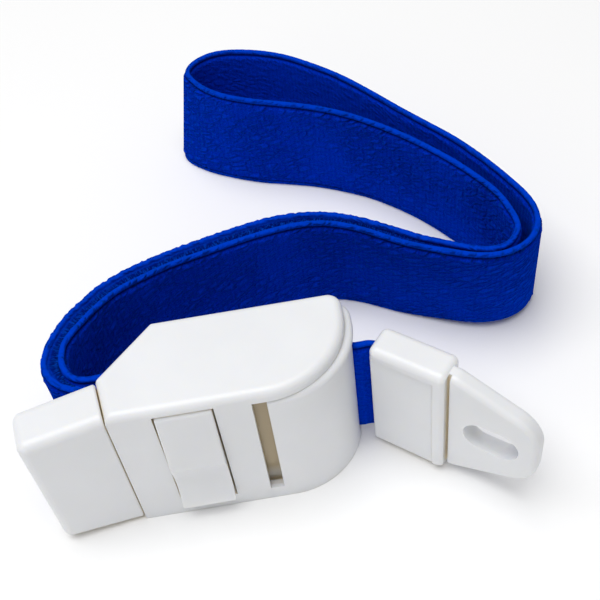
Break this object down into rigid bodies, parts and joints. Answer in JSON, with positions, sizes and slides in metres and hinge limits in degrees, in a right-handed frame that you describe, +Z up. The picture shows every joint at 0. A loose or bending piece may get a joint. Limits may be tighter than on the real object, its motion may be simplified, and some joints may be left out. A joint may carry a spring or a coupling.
{
  "type": "quick-release tourniquet",
  "caption": "Quick-release tourniquet: elastic webbing strap, white buckle housing with a rocker release key, plug-in tongue and pull grip.",
  "frame": {"origin": "middle of the buckle housing's outline, on the side plate's resting face", "axes": "+X along the housing towards the tongue, +Y towards the strap loop, +Z up across the strap's width"},
  "size_m": [0.0982, 0.1128, 0.033],
  "materials": {
    "shell_plastic": "glossy moulded",
    "key_plastic": "glossy moulded",
    "grip_plastic": "glossy moulded",
    "tongue_plastic": "glossy moulded",
    "mechanism_plastic": "moulded",
    "steel": "drawn wire",
    "webbing": "woven elastic"
  },
  "bodies": {
    "housing": {"housing_base": "shell_plastic", "housing_cover": "shell_plastic", "cover_screw_1": "steel", "cover_screw_2": "steel", "cover_screw_3": "steel", "key_pin": "steel", "key_spring": "steel", "cam_pin": "steel", "cam_spring": "steel", "latch_pin": "steel", "latch_spring": "steel", "roller_pin": "steel", "strap_loop": "webbing"},
    "key": {"release_key": "key_plastic"},
    "cam": {"strap_cam": "mechanism_plastic"},
    "latch": {"latch_lever": "mechanism_plastic"},
    "roller": {"guide_roller": "mechanism_plastic"},
    "grip": {"grip_block": "grip_plastic", "grip_jaw": "mechanism_plastic", "strap_tail": "webbing"},
    "tongue": {"tongue_body": "tongue_plastic", "tongue_cover": "tongue_plastic", "tongue_bar": "mechanism_plastic", "strap_lead": "webbing"}
  },
  "joints": [
    {"name": "key_press", "type": "hinge", "parent": "housing", "child": "key", "pos_m": [-0.00885, -0.0064, 0.0289], "axis": [1, 0, 0], "range_deg": [0, 8], "stiffness_Nm_per_rad": 0.2, "springref_deg": -2.86},
    {"name": "cam_release", "type": "hinge", "parent": "housing", "child": "cam", "pos_m": [-0.0157, -0.0062, 0.0155], "axis": [0, 0, 1], "range_deg": [0, 16]},
    {"name": "latch_release", "type": "hinge", "parent": "housing", "child": "latch", "pos_m": [0.0026, -0.0046, 0.0178], "axis": [0, 0, 1], "range_deg": [-20, 0]},
    {"name": "roller_spin", "type": "hinge", "parent": "housing", "child": "roller", "pos_m": [-0.0012, 0.00325, 0.0162], "axis": [0, 0, 1], "continuous": true},
    {"name": "grip_pull", "type": "slide", "parent": "housing", "child": "grip", "axis": [-0.9839, -0.1788, 0], "range_m": [0, 0.015]},
    {"name": "tongue_swing", "type": "hinge", "parent": "housing", "child": "tongue", "pos_m": [0.0227, 0.0013, 0.0152], "axis": [0, 0, 1], "range_deg": [-5, 40]}
  ],
  "couplings": [
    {"joint": "cam_release", "follows": "key_press", "ratio": 2},
    {"joint": "latch_release", "follows": "key_press", "ratio": -2.5}
  ]
}
